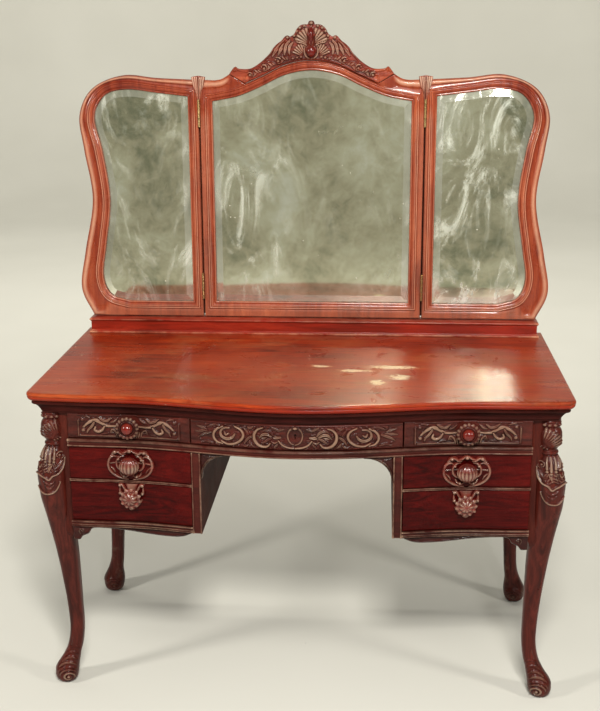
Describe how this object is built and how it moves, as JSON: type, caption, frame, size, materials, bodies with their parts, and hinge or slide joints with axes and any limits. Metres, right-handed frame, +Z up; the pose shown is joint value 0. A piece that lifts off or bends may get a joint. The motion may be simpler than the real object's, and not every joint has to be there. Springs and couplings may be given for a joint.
{
  "type": "vanity table with mirror",
  "caption": "Bow-fronted kneehole vanity table on cabriole legs, with carved drawers and a three-part mirror whose side wings swing forward.",
  "frame": {"origin": "on the floor under the middle of the overall box", "axes": "+X to the right seen from the front, +Y towards the back, +Z up"},
  "size_m": [1.25, 0.69, 1.575],
  "materials": {
    "polished_mahogany": "french-polished red-brown mahogany, glossy, worn in patches",
    "dark_mahogany": "dark polished mahogany",
    "drawer_mahogany": "deep red figured mahogany, polished",
    "carved_mahogany": "carved mahogany, rubbed lighter on the high points",
    "drawer_lining": "plain unpolished drawer lining",
    "backboard": "plain board, stained",
    "mirror_glass": "old bevelled mirror, silvering clouded",
    "brass": "tarnished",
    "lock_steel": "dull"
  },
  "bodies": {
    "table": {"table_top": "polished_mahogany", "mirror_plinth": "polished_mahogany", "center_mirror_frame": "polished_mahogany", "top_moulding": "dark_mahogany", "front_leg_left": "dark_mahogany", "front_leg_right": "dark_mahogany", "rear_leg_left": "dark_mahogany", "rear_leg_right": "dark_mahogany", "back_panel": "dark_mahogany", "side_panel_left": "dark_mahogany", "side_panel_right": "dark_mahogany", "inner_panel_left": "dark_mahogany", "inner_panel_right": "dark_mahogany", "frieze_rail": "dark_mahogany", "middle_dust_board_left": "dark_mahogany", "middle_dust_board_right": "dark_mahogany", "pedestal_bottom_left": "dark_mahogany", "pedestal_bottom_right": "dark_mahogany", "apron_left": "dark_mahogany", "apron_right": "dark_mahogany", "kneehole_bracket_left": "dark_mahogany", "kneehole_bracket_right": "dark_mahogany", "crest": "carved_mahogany", "center_mirror_backboard": "backboard", "center_mirror_glass": "mirror_glass", "lower_hinge_left_fixed_leaf": "brass", "upper_hinge_left_fixed_leaf": "brass", "lower_hinge_right_fixed_leaf": "brass", "upper_hinge_right_fixed_leaf": "brass"},
    "center_frieze_drawer": {"center_frieze_drawer_front": "carved_mahogany", "center_frieze_drawer_box": "drawer_lining", "drawer_lock": "lock_steel"},
    "side_frieze_drawer_left": {"side_frieze_drawer_front_left": "carved_mahogany", "side_frieze_drawer_box_left": "drawer_lining", "frieze_knob_left": "carved_mahogany"},
    "upper_drawer_left": {"upper_drawer_front_left": "drawer_mahogany", "upper_drawer_box_left": "drawer_lining", "upper_pull_left": "carved_mahogany"},
    "lower_drawer_left": {"lower_drawer_front_left": "drawer_mahogany", "lower_drawer_box_left": "drawer_lining", "lower_pull_left": "carved_mahogany"},
    "wing_left": {"wing_mirror_frame_left": "polished_mahogany", "wing_mirror_glass_left": "mirror_glass", "wing_mirror_backboard_left": "backboard", "lower_hinge_left_wing_leaf": "brass", "upper_hinge_left_wing_leaf": "brass"},
    "side_frieze_drawer_right": {"side_frieze_drawer_front_right": "carved_mahogany", "side_frieze_drawer_box_right": "drawer_lining", "frieze_knob_right": "carved_mahogany"},
    "upper_drawer_right": {"upper_drawer_front_right": "drawer_mahogany", "upper_drawer_box_right": "drawer_lining", "upper_pull_right": "carved_mahogany"},
    "lower_drawer_right": {"lower_drawer_front_right": "drawer_mahogany", "lower_drawer_box_right": "drawer_lining", "lower_pull_right": "carved_mahogany"},
    "wing_right": {"wing_mirror_frame_right": "polished_mahogany", "wing_mirror_glass_right": "mirror_glass", "wing_mirror_backboard_right": "backboard", "lower_hinge_right_wing_leaf": "brass", "upper_hinge_right_wing_leaf": "brass"}
  },
  "joints": [
    {"name": "center_frieze_drawer_slide", "type": "slide", "parent": "table", "child": "center_frieze_drawer", "axis": [0, -1, 0], "range_m": [0, 0.38]},
    {"name": "side_frieze_drawer_left_slide", "type": "slide", "parent": "table", "child": "side_frieze_drawer_left", "axis": [0, -1, 0], "range_m": [0, 0.38]},
    {"name": "upper_drawer_left_slide", "type": "slide", "parent": "table", "child": "upper_drawer_left", "axis": [0, -1, 0], "range_m": [0, 0.38]},
    {"name": "lower_drawer_left_slide", "type": "slide", "parent": "table", "child": "lower_drawer_left", "axis": [0, -1, 0], "range_m": [0, 0.38]},
    {"name": "side_frieze_drawer_right_slide", "type": "slide", "parent": "table", "child": "side_frieze_drawer_right", "axis": [0, -1, 0], "range_m": [0, 0.38]},
    {"name": "upper_drawer_right_slide", "type": "slide", "parent": "table", "child": "upper_drawer_right", "axis": [0, -1, 0], "range_m": [0, 0.38]},
    {"name": "lower_drawer_right_slide", "type": "slide", "parent": "table", "child": "lower_drawer_right", "axis": [0, -1, 0], "range_m": [0, 0.38]},
    {"name": "wing_left_hinge", "type": "hinge", "parent": "table", "child": "wing_left", "pos_m": [-0.2915, 0.3004, 1.1175], "axis": [0, 0, 1], "range_deg": [0, 100]},
    {"name": "wing_right_hinge", "type": "hinge", "parent": "table", "child": "wing_right", "pos_m": [0.2915, 0.3004, 1.1175], "axis": [0, 0, -1], "range_deg": [0, 100]}
  ]
}
